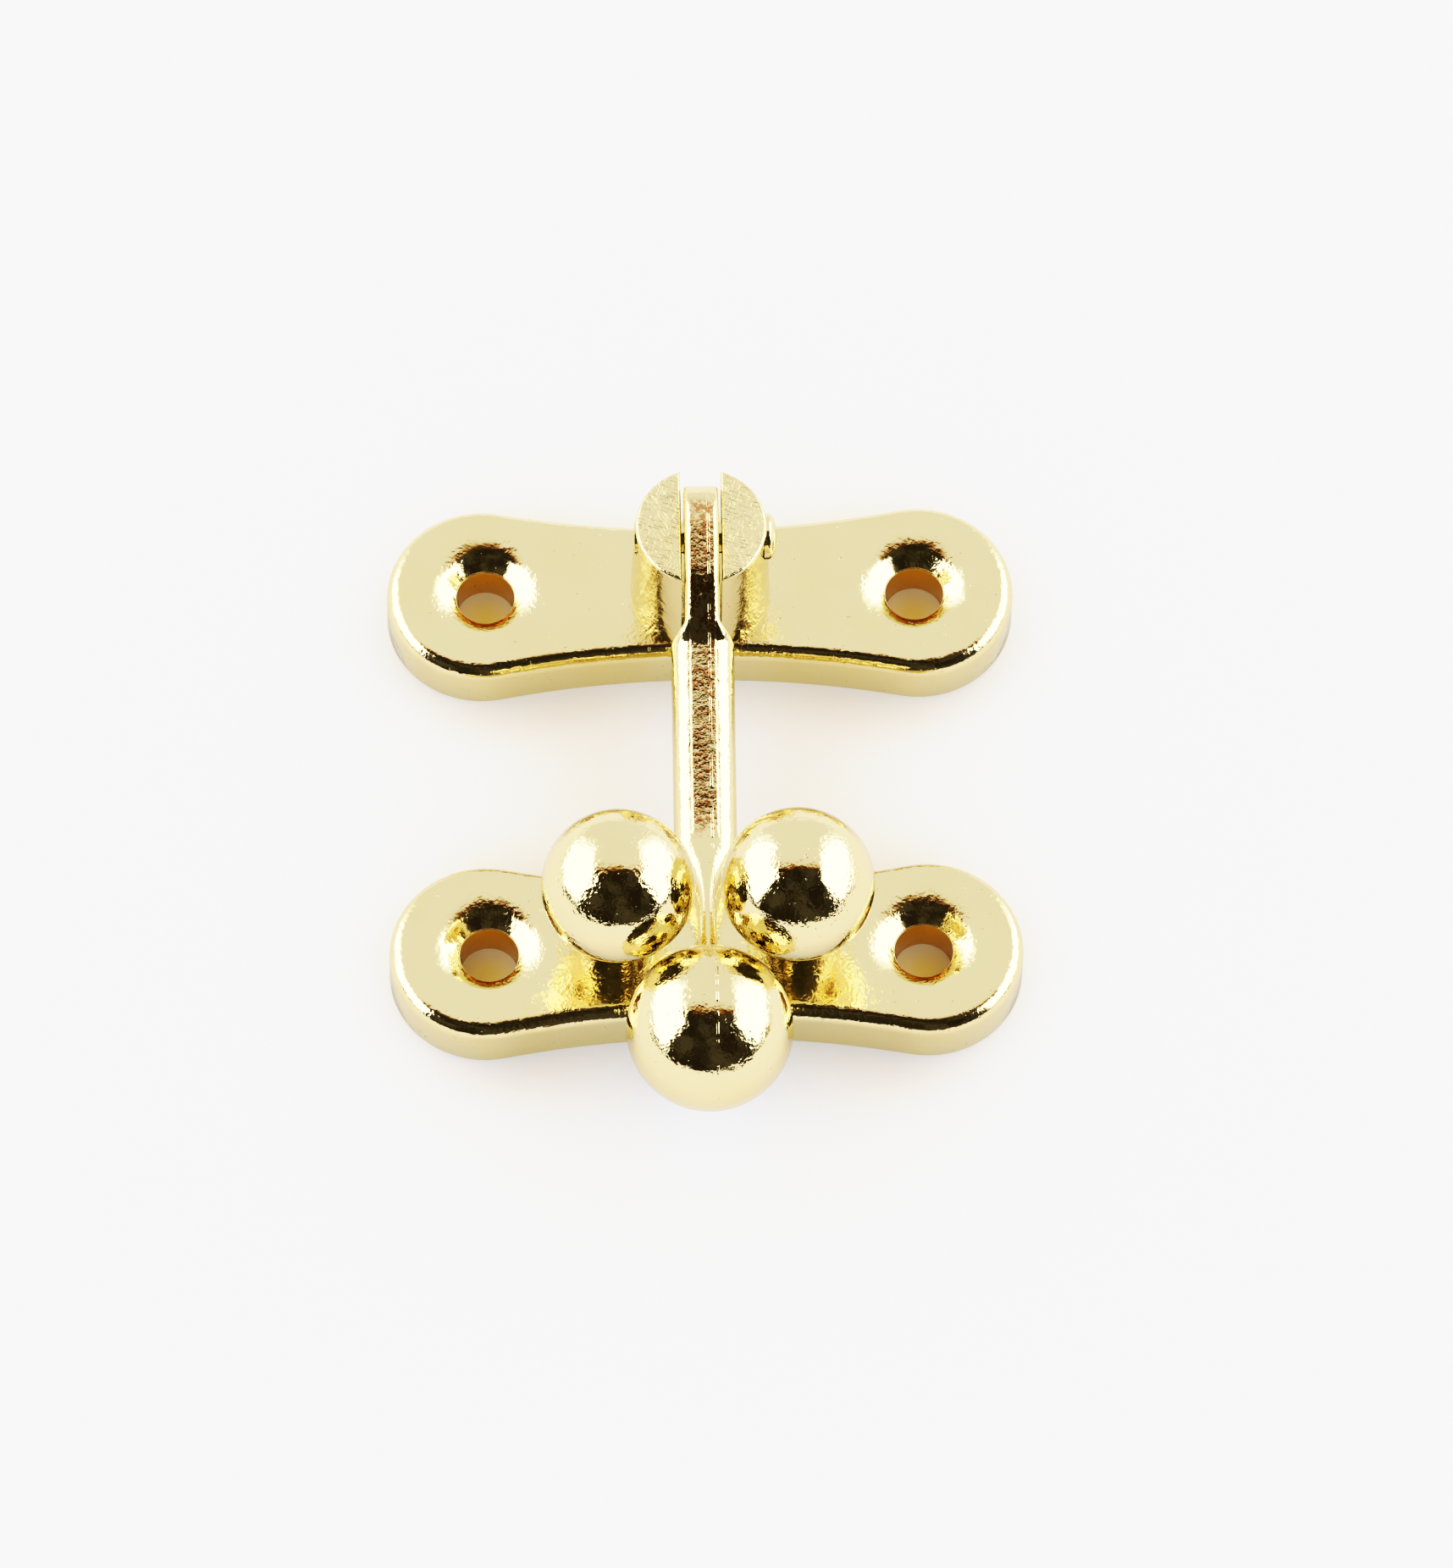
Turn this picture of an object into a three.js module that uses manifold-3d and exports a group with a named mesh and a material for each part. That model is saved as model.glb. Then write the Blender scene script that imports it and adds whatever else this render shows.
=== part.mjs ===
// A three-ball swing latch for a small door, shutter or box lid, in millimetres, +Z up.
// The hinge side is a shell plate with a slotted post, in which an arm swings on a cross pin.
// The catch side is a like plate with two ball studs. The arm's neck drops between the two stud
// balls, and its own ball then lies in front of them and below their middles.
// Both plates lie on the mounting plane Z = 0. X runs along the plates, and the arm points to -Y.
import * as THREE from "three";
import { mergeVertices } from "three/addons/utils/BufferGeometryUtils.js";
import Module from "manifold-3d";

const wasm = await Module();
wasm.setup();

// ---------------------------------------------------------------- driving dimensions, mm
// Both plates: a dog-bone shell, open underneath.
const PLATE_LENGTH = 35;
const PLATE_END_WIDTH = 10.6;
const PLATE_WAIST_WIDTH = 8.2;
const PLATE_HEIGHT = 3.2;
const PLATE_EDGE_RADIUS = 0.85;
const SHEET = 0.8; // wall of the shell
const PLATE_SPACING = 22.5; // from the middle of one plate to the middle of the other

// Screw holes, each through a boss inside the shell, in a smooth dimple that takes a countersunk head.
const SCREW_TO_END = 5.5; // from the hole's middle to the plate's end
const SCREW_HOLE_DIAMETER = 3.3;
const DIMPLE_DIAMETER = 7.7;
const DIMPLE_SHOULDER_RADIUS = 2.85;
const DIMPLE_SLOPE_DEG = 33;
const DIMPLE_RIM = 0.25; // kept round and under the dimple's edge, inside the shell
const BOSS_WALL = 0.9;

// Slotted post of the hinge side.
const POST_BASE_DIAMETER = 7.8;
const POST_TOP_DIAMETER = 7.3;
const POST_EDGE = 0.15;
const SLOT_WIDTH = 2.25;
const SLOT_FLOOR = 0.85; // left between the plate and the slot
const SLOT_FLOOR_CLEARANCE = 1; // below the tongue as it swings
const POST_TENON_DIAMETER = 3.4;

// Cross pin.
const PIN_DIAMETER = 1.8;
const PIN_HEAD_OVERHANG = 0.4;
const PIN_HEAD_PROUD = 0.5;
const PIN_HEAD_TO_TOP = 0.1; // from the head's edge up to the post's top
const PIN_SEAT_DEPTH = 0.25; // flat cut into the post's side for the head
const PIN_CLEARANCE = 0.05;
const PIN_HEAD_EDGE_SHARE = 0.6; // of the head's height that is rounded off

// Arm, one casting: a flat tongue in the slot, an oval rod, a thin neck and a ball.
const TONGUE_CLEARANCE = 0.15; // each side, in the slot
const EYE_DIAMETER = 5.7;
const TONGUE_FLAT = 2.9; // length of the full-height tongue
const TONGUE_TAPER = 3.5;
const SHOULDER_LENGTH = 1.3;
const SHOULDER_INSET = 0.06; // of the rod's root inside the tongue's sides
const ROD_WIDTH = 3.5;
const ROD_HEIGHT = 3.2;
const ROOT_HEIGHT_SHARE = 0.8; // of the rod's height, where it starts inside the tongue
const ROD_PLATE_GAP = 0.05; // under the rod at the corner of its middle line, which the bend rounds off
const KNEE_TO_STUDS = 4.2; // from that corner to the stud balls' middles
const ARM_BEND_RADIUS = 12;
const NECK_WIDTH = 1.05;
const NECK_FLARE_RADIUS = 9; // in plan, where the rod narrows to the neck

// Balls.
const STUD_BALL_DIAMETER = 8.45;
const STUD_BALL_HEIGHT = 7.25; // the ball's middle above the plate
const STUD_POST_DIAMETER = 4;
const STUD_TENON_DIAMETER = 2.4;
const ARM_BALL_DIAMETER = 9.15;
const ARM_BALL_DROP = 2.7; // below the stud balls' middles
const PASS_CLEARANCE = 0.08; // between the arm's ball and the stud balls as it passes them
const NECK_CLEARANCE = 0.17; // between the arm's neck and the stud balls

// Riveted tenons, headed over inside the plates.
const TENON_CLEARANCE = 0.05;
const RIVET_OVERHANG = 0.7;
const RIVET_THICKNESS = 0.7;

// Fineness of the round shapes.
const END_STEPS = 20;
const WAIST_STEPS = 8;
const EDGE_STEPS = 4;
const ROUND_STEPS = 32;
const HOLE_STEPS = 28;
const ROD_STEPS = 20;
const SHOULDER_STEPS = 3;
const BEND_STEPS = 14;

// ---------------------------------------------------------------- places worked out from them
const rad = THREE.MathUtils.degToRad;
const plateTop = PLATE_HEIGHT;
const plateInside = PLATE_HEIGHT - SHEET;
const endRadius = PLATE_END_WIDTH / 2;
const endCentre = PLATE_LENGTH / 2 - endRadius;
const waistHalf = PLATE_WAIST_WIDTH / 2;
const screwX = PLATE_LENGTH / 2 - SCREW_TO_END;

// The post is as tall as the tongue needs to swing clear of the slot's floor.
const eyeRadius = EYE_DIAMETER / 2;
const tongueReach = Math.hypot(TONGUE_FLAT, eyeRadius);
const slotFloor = plateTop + SLOT_FLOOR;
const pinZ = slotFloor + SLOT_FLOOR_CLEARANCE + tongueReach;
const pinHeadRadius = PIN_DIAMETER / 2 + PIN_HEAD_OVERHANG;
const postTop = pinZ + pinHeadRadius + PIN_HEAD_TO_TOP;
const tongueThickness = SLOT_WIDTH - 2 * TONGUE_CLEARANCE;

// The stud balls stand the neck's width apart, and the arm's ball just clears both in plan.
const studBallRadius = STUD_BALL_DIAMETER / 2;
const armBallRadius = ARM_BALL_DIAMETER / 2;
const neckHalf = NECK_WIDTH / 2;
const studX = studBallRadius + NECK_CLEARANCE + neckHalf;
const studBallZ = plateTop + STUD_BALL_HEIGHT;
const armBallZ = studBallZ - ARM_BALL_DROP;
const passDistance = studBallRadius + armBallRadius + PASS_CLEARANCE;
const armReach = PLATE_SPACING + Math.sqrt(passDistance ** 2 - studX ** 2);

// The origin is under the middle of the whole latch.
const hingeY = (armReach + armBallRadius - endRadius) / 2;
const catchY = hingeY - PLATE_SPACING;
const armBallY = hingeY - armReach;

// ---------------------------------------------------------------- small tools
// A closed geometry as a manifold-3d solid, and back.
function solid(geometry) {
  const bare = geometry.index ? geometry.toNonIndexed() : geometry.clone();
  bare.deleteAttribute("normal");
  bare.deleteAttribute("uv");
  const merged = mergeVertices(bare, 1e-4);
  const mesh = new wasm.Mesh({
    numProp: 3,
    vertProperties: new Float32Array(merged.attributes.position.array),
    triVerts: new Uint32Array(merged.index.array),
  });
  return new wasm.Manifold(mesh);
}

function geometryOf(body) {
  const mesh = body.getMesh();
  const corners = new Float32Array(mesh.numVert * 3);
  for (let i = 0; i < mesh.numVert; i++) {
    corners.set(mesh.vertProperties.subarray(i * mesh.numProp, i * mesh.numProp + 3), i * 3);
  }
  const geometry = new THREE.BufferGeometry();
  geometry.setAttribute("position", new THREE.BufferAttribute(corners, 3));
  geometry.setIndex(new THREE.BufferAttribute(new Uint32Array(mesh.triVerts), 1));
  const flat = geometry.toNonIndexed();
  flat.computeVertexNormals();
  return flat;
}

// Rings of points, joined one to the next, with both ends closed. Each ring runs the same way round.
function loft(rings) {
  const count = rings[0].length;
  const corners = [];
  const quad = (a, b, c, d) => corners.push(a, b, c, a, c, d);
  rings.slice(1).forEach((upper, level) => {
    const lower = rings[level];
    for (let i = 0; i < count; i++) {
      const j = (i + 1) % count;
      quad(lower[i], lower[j], upper[j], upper[i]);
    }
  });
  const close = (ring, facing) => {
    const middle = ring.reduce((sum, p) => sum.add(p), new THREE.Vector3()).divideScalar(count);
    for (let i = 0; i < count; i++) {
      const j = (i + 1) % count;
      corners.push(middle, ...(facing ? [ring[i], ring[j]] : [ring[j], ring[i]]));
    }
  };
  close(rings[0], false);
  close(rings[rings.length - 1], true);
  return new THREE.BufferGeometry().setFromPoints(corners);
}

// A body turned about the Z axis through (x, y), from [radius, height] points.
function turned(profile, x, y, steps = ROUND_STEPS) {
  const points = profile.map(([r, z]) => new THREE.Vector2(r, z));
  const geometry = new THREE.LatheGeometry(points, steps);
  geometry.rotateX(Math.PI / 2);
  geometry.translate(x, y, 0);
  return solid(geometry);
}

// Points along an arc of a [radius, height] profile, angles in degrees.
function arc(r, z, radius, from, to, steps) {
  return Array.from({ length: steps + 1 }, (_, i) => {
    const a = rad(from + ((to - from) * i) / steps);
    return [r + radius * Math.cos(a), z + radius * Math.sin(a)];
  });
}

function block(width, depth, height, x, y, z) {
  return solid(new THREE.BoxGeometry(width, depth, height).translate(x, y, z));
}

// A plain cylinder along X or Z, centred on a point.
function rod(radius, length, axis, x, y, z, steps = HOLE_STEPS) {
  const geometry = new THREE.CylinderGeometry(radius, radius, length, steps);
  if (axis === "x") geometry.rotateZ(Math.PI / 2);
  else geometry.rotateX(Math.PI / 2);
  return solid(geometry.translate(x, y, z));
}

// ---------------------------------------------------------------- the shell plates
// The dog-bone outline, set in from the full size: two end circles and two hollow arcs tangent to them.
function plateOutline(inset, y, z) {
  const full = endRadius;
  const hollow = (endCentre ** 2 + waistHalf ** 2 - full ** 2) / (2 * (full - waistHalf));
  const hollowCentre = waistHalf + hollow;
  const meet = Math.atan2(hollowCentre, -endCentre);
  const points = [];
  for (const side of [1, -1]) {
    for (let i = 0; i <= END_STEPS; i++) {
      const a = -meet + (2 * meet * i) / END_STEPS;
      const r = full - inset;
      points.push([side * (endCentre + r * Math.cos(a)), side * r * Math.sin(a)]);
    }
    const sweep = Math.atan2(endCentre, hollowCentre);
    for (let i = 1; i < WAIST_STEPS; i++) {
      const a = sweep - (2 * sweep * i) / WAIST_STEPS;
      const r = hollow + inset;
      points.push([side * r * Math.sin(a), side * (hollowCentre - r * Math.cos(a))]);
    }
  }
  return points.map(([px, py]) => new THREE.Vector3(px, y + py, z));
}

// A dog-bone block with a rounded top edge.
function plateBlock(inset, height, edge, y, floor) {
  const rings = [plateOutline(inset, y, floor)];
  for (let i = 0; i <= EDGE_STEPS; i++) {
    const a = (Math.PI / 2) * (i / EDGE_STEPS);
    rings.push(plateOutline(inset + edge * (1 - Math.cos(a)), y, height - edge + edge * Math.sin(a)));
  }
  return solid(loft(rings));
}

// The bowl sunk in the top round a screw hole: a rounded shoulder, then a straight slope.
function dimpleBowl() {
  const holeRadius = SCREW_HOLE_DIAMETER / 2;
  const shoulderStart = DIMPLE_DIAMETER / 2;
  const turn = rad(DIMPLE_SLOPE_DEG);
  const slopeStart = shoulderStart - DIMPLE_SHOULDER_RADIUS * Math.sin(turn);
  const shoulderDrop = DIMPLE_SHOULDER_RADIUS * (1 - Math.cos(turn));
  const depth = shoulderDrop + (slopeStart - holeRadius) * Math.tan(turn);
  const shoulder = arc(
    shoulderStart,
    plateTop - DIMPLE_SHOULDER_RADIUS,
    DIMPLE_SHOULDER_RADIUS,
    90 + DIMPLE_SLOPE_DEG,
    90,
    EDGE_STEPS,
  );
  return { holeRadius, depth, shoulder };
}

function shellPlate(y, tenons) {
  const bowl = dimpleBowl();
  const bossRadius = bowl.holeRadius + BOSS_WALL;
  let plate = plateBlock(0, PLATE_HEIGHT, PLATE_EDGE_RADIUS, y, 0);
  const innerEdge = Math.max(PLATE_EDGE_RADIUS - SHEET, SHEET / 8);
  plate = plate.subtract(plateBlock(SHEET, plateInside, innerEdge, y, -1));
  for (const side of [-1, 1]) {
    const x = side * screwX;
    const boss = [
      [0, 0],
      [bossRadius, 0],
      [bossRadius, plateInside - DIMPLE_RIM],
      [DIMPLE_DIAMETER / 2 + DIMPLE_RIM, plateInside],
      [DIMPLE_DIAMETER / 2 + DIMPLE_RIM, plateInside + SHEET / 2],
      [0, plateInside + SHEET / 2],
    ];
    const hollow = [
      [0, -1],
      [bowl.holeRadius, -1],
      [bowl.holeRadius, plateTop - bowl.depth],
      ...bowl.shoulder,
      [DIMPLE_DIAMETER / 2, plateTop + 1],
      [0, plateTop + 1],
    ];
    plate = plate.add(turned(boss, x, y, HOLE_STEPS)).subtract(turned(hollow, x, y, HOLE_STEPS));
  }
  for (const { x, diameter } of tenons) {
    plate = plate.subtract(rod(diameter / 2 + TENON_CLEARANCE, PLATE_HEIGHT, "z", x, y, plateTop));
  }
  return plate;
}

// The headed-over end of a tenon, from the rivet's underside up to the plate's top.
function rivetedTenon(diameter) {
  const tenon = diameter / 2;
  const foot = plateInside - RIVET_THICKNESS;
  return [
    [0, foot],
    [tenon + RIVET_OVERHANG / 2, foot],
    [tenon + RIVET_OVERHANG, foot + RIVET_THICKNESS / 2],
    [tenon + RIVET_OVERHANG, plateInside],
    [tenon, plateInside],
    [tenon, plateTop],
  ];
}

// ---------------------------------------------------------------- the hinge side's post and pin
const postTaper = (POST_BASE_DIAMETER - POST_TOP_DIAMETER) / 2 / (postTop - plateTop);
const postRadiusAtPin = POST_BASE_DIAMETER / 2 - postTaper * (pinZ - plateTop);
const pinSeatX = postRadiusAtPin - PIN_SEAT_DEPTH;

function hingePost() {
  const profile = [
    ...rivetedTenon(POST_TENON_DIAMETER),
    [POST_BASE_DIAMETER / 2, plateTop],
    [POST_TOP_DIAMETER / 2, postTop - POST_EDGE],
    [POST_TOP_DIAMETER / 2 - POST_EDGE, postTop],
    [0, postTop],
  ];
  const slotHeight = postTop - slotFloor + 1;
  const slot = block(SLOT_WIDTH, 2 * POST_BASE_DIAMETER, slotHeight, 0, hingeY, slotFloor + slotHeight / 2);
  const hole = rod(PIN_DIAMETER / 2 + PIN_CLEARANCE, 2 * POST_BASE_DIAMETER, "x", 0, hingeY, pinZ);
  const seatRadius = pinHeadRadius + PIN_CLEARANCE;
  const seat = rod(seatRadius, POST_BASE_DIAMETER, "x", pinSeatX + POST_BASE_DIAMETER / 2, hingeY, pinZ);
  return turned(profile, 0, hingeY).subtract(slot).subtract(hole).subtract(seat);
}

// The pin is headed at its +X end and flush with the post at the other.
function pivotPin() {
  const headHeight = PIN_SEAT_DEPTH - PIN_CLEARANCE + PIN_HEAD_PROUD;
  const shank = PIN_DIAMETER / 2;
  const seat = pinSeatX + PIN_CLEARANCE;
  const tail = -postRadiusAtPin;
  const edge = headHeight * PIN_HEAD_EDGE_SHARE;
  const bevel = edge * (1 - Math.SQRT1_2);
  const profile = [
    [0, tail],
    [shank, tail],
    [shank, seat],
    [pinHeadRadius, seat],
    [pinHeadRadius, seat + headHeight - edge],
    [pinHeadRadius - bevel, seat + headHeight - bevel],
    [pinHeadRadius - edge, seat + headHeight],
    [0, seat + headHeight],
  ].map(([r, x]) => new THREE.Vector2(r, x));
  const geometry = new THREE.LatheGeometry(profile, HOLE_STEPS);
  geometry.rotateZ(-Math.PI / 2);
  return solid(geometry.translate(0, hingeY, pinZ));
}

// ---------------------------------------------------------------- the catch side's ball studs
function ballStud(side) {
  const post = STUD_POST_DIAMETER / 2;
  const bottom = -90 + THREE.MathUtils.radToDeg(Math.asin(post / studBallRadius));
  const profile = [
    ...rivetedTenon(STUD_TENON_DIAMETER),
    [post, plateTop],
    ...arc(0, studBallZ, studBallRadius, bottom, 90, ROUND_STEPS / 2).slice(0, -1),
    [0, studBallZ + studBallRadius],
  ];
  return turned(profile, side * studX, catchY);
}

// ---------------------------------------------------------------- the arm
// The arm's middle line in the YZ plane: it falls from the pin, bends, and rises to the ball.
// Distances run forward from the pin (towards -Y) and up from it.
const ballUp = armBallZ - pinZ;
const kneeForward = PLATE_SPACING - KNEE_TO_STUDS;
const kneeUp = plateTop + ROD_PLATE_GAP + ROD_HEIGHT / 2 - pinZ;
const droop = Math.atan2(-kneeUp, kneeForward);
const rise = Math.atan2(ballUp - kneeUp, armReach - kneeForward);
const bendSetback = ARM_BEND_RADIUS * Math.tan((droop + rise) / 2);
const bendStart = kneeForward - bendSetback * Math.cos(droop);
const bendEnd = kneeForward + bendSetback * Math.cos(rise);

// Height above the pin and slope of the middle line, a distance in front of the pin.
function middleLine(forward) {
  if (forward <= bendStart) return { up: -forward * Math.tan(droop), heading: -droop };
  if (forward >= bendEnd) return { up: ballUp - (armReach - forward) * Math.tan(rise), heading: rise };
  const centreForward = bendStart + ARM_BEND_RADIUS * Math.sin(droop);
  const centreUp = -bendStart * Math.tan(droop) + ARM_BEND_RADIUS * Math.cos(droop);
  const heading = Math.asin((forward - centreForward) / ARM_BEND_RADIUS);
  return { up: centreUp - ARM_BEND_RADIUS * Math.cos(heading), heading };
}

// Half the rod's width: it narrows in a hollow curve to the neck between the stud balls.
function rodHalfWidth(forward) {
  const behind = Math.min(Math.max(PLATE_SPACING - forward, 0), NECK_FLARE_RADIUS);
  const flared = neckHalf + NECK_FLARE_RADIUS - Math.sqrt(NECK_FLARE_RADIUS ** 2 - behind ** 2);
  return Math.min(ROD_WIDTH / 2, flared);
}

// One oval section of the rod, square to the middle line. Grow runs from 0 at the rod's root,
// inside the tongue, to 1 past the shoulders.
function rodSection(forward, grow) {
  const { up, heading } = middleLine(forward);
  const root = tongueThickness / 2 - SHOULDER_INSET;
  const halfWidth = root + (rodHalfWidth(forward) - root) * grow;
  const halfHeight = (ROD_HEIGHT / 2) * (ROOT_HEIGHT_SHARE + (1 - ROOT_HEIGHT_SHARE) * grow);
  return Array.from({ length: ROD_STEPS }, (_, i) => {
    const a = (2 * Math.PI * i) / ROD_STEPS;
    const lift = halfHeight * Math.sin(a);
    return new THREE.Vector3(
      halfWidth * Math.cos(a),
      hingeY - (forward - lift * Math.sin(heading)),
      pinZ + up + lift * Math.cos(heading),
    );
  });
}

function armRod() {
  const shoulderEnd = (TONGUE_FLAT + TONGUE_TAPER) * Math.cos(droop);
  const sections = [];
  for (let i = 0; i <= SHOULDER_STEPS; i++) {
    const t = i / SHOULDER_STEPS;
    sections.push(rodSection(shoulderEnd - SHOULDER_LENGTH * (1 - t), Math.sin((Math.PI / 2) * t)));
  }
  for (let i = 0; i <= BEND_STEPS; i++) {
    sections.push(rodSection(bendStart + ((armReach - bendStart) * i) / BEND_STEPS, 1));
  }
  return solid(loft(sections));
}

// The flat tongue, drawn forward and up from the pin, then turned down by the droop.
function armTongue() {
  const length = TONGUE_FLAT + TONGUE_TAPER;
  const shape = new THREE.Shape();
  shape.absarc(0, 0, eyeRadius, Math.PI / 2, (3 * Math.PI) / 2, false);
  shape.lineTo(TONGUE_FLAT, -eyeRadius);
  shape.lineTo(length, -ROD_HEIGHT / 2);
  shape.lineTo(length, ROD_HEIGHT / 2);
  shape.lineTo(TONGUE_FLAT, eyeRadius);
  shape.closePath();
  const geometry = new THREE.ExtrudeGeometry(shape, {
    depth: tongueThickness,
    bevelEnabled: false,
    curveSegments: ROUND_STEPS / 2,
  });
  geometry.translate(0, 0, -tongueThickness / 2);
  geometry.rotateZ(-droop);
  geometry.rotateX(Math.PI / 2);
  geometry.rotateZ(-Math.PI / 2);
  return solid(geometry.translate(0, hingeY, pinZ));
}

function armBall() {
  const geometry = new THREE.SphereGeometry(armBallRadius, ROUND_STEPS, ROUND_STEPS / 2);
  geometry.rotateX(Math.PI / 2);
  return solid(geometry.translate(0, armBallY, armBallZ));
}

function latchArm() {
  const eye = rod(PIN_DIAMETER / 2 + PIN_CLEARANCE, 2 * SLOT_WIDTH, "x", 0, hingeY, pinZ);
  return armRod().add(armTongue()).add(armBall()).subtract(eye);
}

// ---------------------------------------------------------------- the assembly
const plateBrass = new THREE.MeshStandardMaterial({ color: 0xe6dcb4, metalness: 1, roughness: 0.22 });
const castBrass = new THREE.MeshStandardMaterial({ color: 0xe2d6a6, metalness: 1, roughness: 0.26 });
const polishedBrass = new THREE.MeshStandardMaterial({ color: 0xe8dfb0, metalness: 1, roughness: 0.1 });

const latch = new THREE.Group();

function place(name, body, material) {
  const mesh = new THREE.Mesh(geometryOf(body), material);
  mesh.name = name;
  latch.add(mesh);
}

const studTenons = [-1, 1].map((side) => ({ x: side * studX, diameter: STUD_TENON_DIAMETER }));

place("hinge_plate", shellPlate(hingeY, [{ x: 0, diameter: POST_TENON_DIAMETER }]), plateBrass);
place("hinge_post", hingePost(), castBrass);
place("pivot_pin", pivotPin(), castBrass);
place("latch_arm", latchArm(), castBrass);
place("catch_plate", shellPlate(catchY, studTenons), plateBrass);
place("catch_stud_left", ballStud(-1), polishedBrass);
place("catch_stud_right", ballStud(1), polishedBrass);

export default latch;
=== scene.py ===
import math
from contextlib import contextmanager

import bmesh
import bpy
from mathutils import Matrix, Vector


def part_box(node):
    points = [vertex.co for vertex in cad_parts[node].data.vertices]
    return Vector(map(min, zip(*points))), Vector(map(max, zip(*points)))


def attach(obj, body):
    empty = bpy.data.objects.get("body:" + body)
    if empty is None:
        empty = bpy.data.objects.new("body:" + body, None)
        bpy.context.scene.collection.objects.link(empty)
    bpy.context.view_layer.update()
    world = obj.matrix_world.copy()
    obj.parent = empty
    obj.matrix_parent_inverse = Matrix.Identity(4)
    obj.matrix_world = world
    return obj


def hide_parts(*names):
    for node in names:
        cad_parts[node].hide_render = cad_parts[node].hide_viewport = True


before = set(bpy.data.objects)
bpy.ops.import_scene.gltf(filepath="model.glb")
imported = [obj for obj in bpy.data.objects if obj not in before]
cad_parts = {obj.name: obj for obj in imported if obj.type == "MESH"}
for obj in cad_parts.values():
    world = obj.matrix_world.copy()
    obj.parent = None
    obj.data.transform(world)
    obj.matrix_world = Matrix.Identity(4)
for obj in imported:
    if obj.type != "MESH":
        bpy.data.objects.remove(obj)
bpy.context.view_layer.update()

MM = 0.001

# ------------------------------------------------------------------ sizes that the frame doesn't give
# the shell plates
WAIST_WIDTH = 8.2 * MM
PLATE_EDGE = 0.85 * MM
SHEET = 0.8 * MM
SCREW_TO_END = 5.5 * MM
SCREW_HOLE = 3.3 * MM
DIMPLE = 7.7 * MM
DIMPLE_CREASE = 5.38 * MM
DIMPLE_CREASE_SLOPE = math.radians(20)
DIMPLE_CONE = 4.6 * MM
DIMPLE_CONE_SLOPE = math.radians(33)
BOSS_WALL = 0.9 * MM
BORE_STEP = 0.03 * MM  # the boss's bore inside the screw hole's own edge
BOSS_LIP = 0.06 * MM  # from the boss's top up to that edge
BOSS_LIP_WIDTH = 0.3 * MM
BOSS_SHOULDER_DEPTH = 0.4 * MM
SHELL_ARRIS = 0.06 * MM

# the post, the pin and the studs
POST_BASE = 7.8 * MM
POST_TOP = 7.3 * MM
SLOT_WIDTH = 2.25 * MM
SLOT_FLOOR = 0.85 * MM
POST_EDGE = 0.22 * MM
POST_ARRIS = 0.08 * MM
POST_FOOT = 0.05 * MM
POST_TENON = 3.4 * MM
STUD_TENON = 2.4 * MM
RIVET_OVERHANG = 0.7 * MM
RIVET_THICKNESS = 0.7 * MM
RIVET_DOME_SHARE = 0.55  # of the tail's thickness
RIVET_SEAT_GAP = 0.01 * MM
PIN = 1.8 * MM
PIN_HEAD = 2.6 * MM
PIN_HEAD_HEIGHT = 0.7 * MM
PIN_HEAD_RIM_SHARE = 0.35  # of the head's height, below its dome
PIN_HEAD_DOME = math.radians(80)
PIN_CLEARANCE = 0.05 * MM
STUD_BALL = 8.45 * MM
STUD_POST = 4 * MM
STUD_FOOT = 0.06 * MM

# the arm
EYE_CORNER = 0.35 * MM
TONGUE = 1.95 * MM
EYE = 5.7 * MM
TONGUE_FLAT = 2.9 * MM
TONGUE_TAPER = 3.5 * MM
SHOULDER = 1.3 * MM
ROD_WIDTH = 3.5 * MM
ROD_HEIGHT = 3.2 * MM
TONGUE_SQUARENESS = 8.0
ROD_SQUARENESS = 2.6
ROD_PLATE_GAP = 0.05 * MM
KNEE_TO_STUDS = 4.2 * MM
BEND_RADIUS = 12 * MM
NECK_WIDTH = 1.05 * MM
NECK_FLARE = 9 * MM
ARM_BALL = 9.15 * MM

# how many sides or steps the round shapes have
PLATE_SIDES = 160
WAIST_CUTS = 31
EDGE_STEPS = 14
DIMPLE_SIDES = 96
DIMPLE_STEPS = 8
BOSS_SIDES = 80
TURNED_SIDES = 112
PIN_SIDES = 72
HOLE_SIDES = 64
ARM_SIDES = 96
ARM_RINGS = 64

# ------------------------------------------------------------------ finishes, light and camera
PALE_BRASS = (0.90, 0.79, 0.47, 1)
WARM_BRASS = (0.88, 0.73, 0.36, 1)
# painted shade: the deeper gold painted inside the screw holes
PAINTED_BORE_SHADE = (0.88, 0.58, 0.14, 1)
# painted reflection: brown painted on the arm's top strip for the dark surroundings it reflects
PAINTED_REFLECTION_BROWN = (0.58, 0.31, 0.14, 1)

# the plating's relief: features per metre, and heights in thousandths of a millimetre
TONE_SCALE = 240
WAVE_SCALE, WAVE_HEIGHT = 800, 26
GRAIN_SCALE, GRAIN_PATCH_SCALE = 4400, 620
GRAIN_LEAST = 0.3  # of the grain's height, between the patches
PIT_SCALE, PIT_DEPTH = 2900, 8
STRIP_SCALE, STRIP_HEIGHT = 4300, 48
STRIP_CLUSTER_SCALE = 900
STRIP_BORDER = (0.78 * MM, 0.62 * MM)
SEAM_X = 0.36 * MM
SEAM_BORDER = (0.09 * MM, 0.03 * MM)
SEAM_BREAK_SCALE, SEAM_HEIGHT = 1500, 25
SCRATCHES = ((0.35, 13000), (-0.5, 10000), (-1.2, 12000))  # their direction and features per metre across
SCRATCH_LENGTH = 14  # times their width
SCRATCH_DEPTH = 18
BORE_BORDER = (3.52 * MM * MM, 2.88 * MM * MM)  # square of the distance from the hole's middle

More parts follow.
